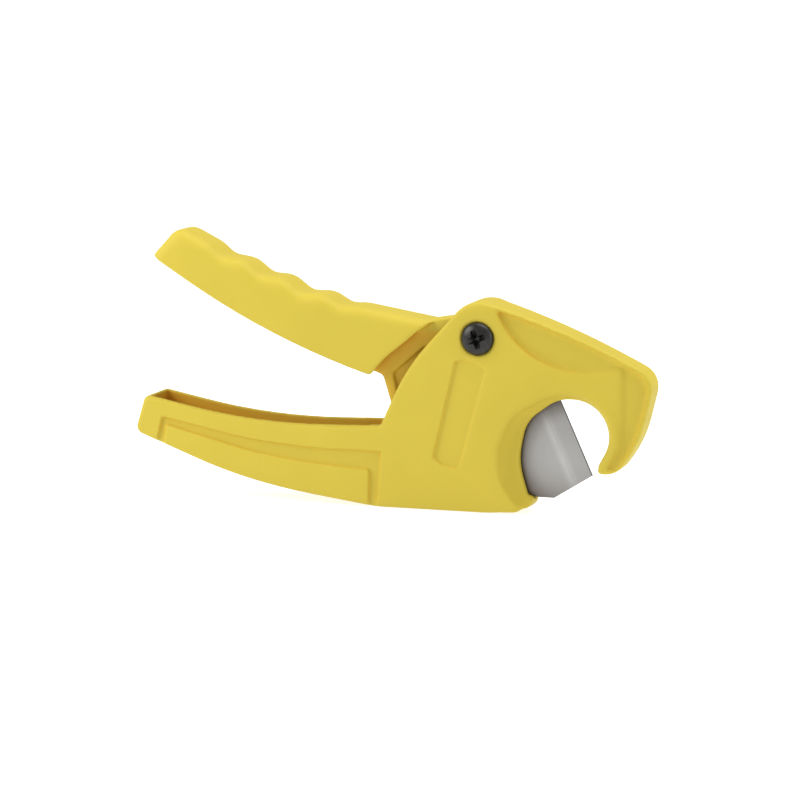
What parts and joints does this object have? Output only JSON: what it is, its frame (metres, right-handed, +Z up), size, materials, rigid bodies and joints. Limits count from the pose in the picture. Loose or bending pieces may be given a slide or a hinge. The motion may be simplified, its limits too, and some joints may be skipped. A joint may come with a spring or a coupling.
{
  "type": "pipe cutter",
  "caption": "Hand-held cutter for plastic pipe: moulded body with a hooked jaw and channel handle, a finger-grooved squeeze handle and a flat steel blade on one pivot.",
  "frame": {"origin": "middle of the tool's length and width, on the surface that the body's flat underside rests on", "axes": "+X towards the hooked jaw, +Z up from the channel handle to the squeeze handle, +Y towards the side with the pivot nut"},
  "size_m": [0.2118, 0.0254, 0.107],
  "materials": {
    "yellow_plastic": "moulded, satin",
    "blade_steel": "ground and satin polished",
    "black_screw": "black oxide",
    "zinc_steel": "zinc plated"
  },
  "bodies": {
    "body": {"body": "yellow_plastic", "pivot_screw": "black_screw", "pivot_nut": "zinc_steel", "pivot_sleeve": "zinc_steel", "thrust_washer": "zinc_steel", "return_spring": "zinc_steel"},
    "lever": {"upper_handle": "yellow_plastic", "blade": "blade_steel", "blade_screw_upper": "zinc_steel", "blade_screw_lower": "zinc_steel", "blade_nut_upper": "zinc_steel", "blade_nut_lower": "zinc_steel"}
  },
  "joints": [
    {"name": "squeeze", "type": "hinge", "parent": "body", "child": "lever", "pos_m": [0.03726, 0, 0.0686], "axis": [0, -1, 0], "range_deg": [0, 18], "stiffness_Nm_per_rad": 0.11, "springref_deg": -60.16, "deforming": ["return_spring"]}
  ]
}
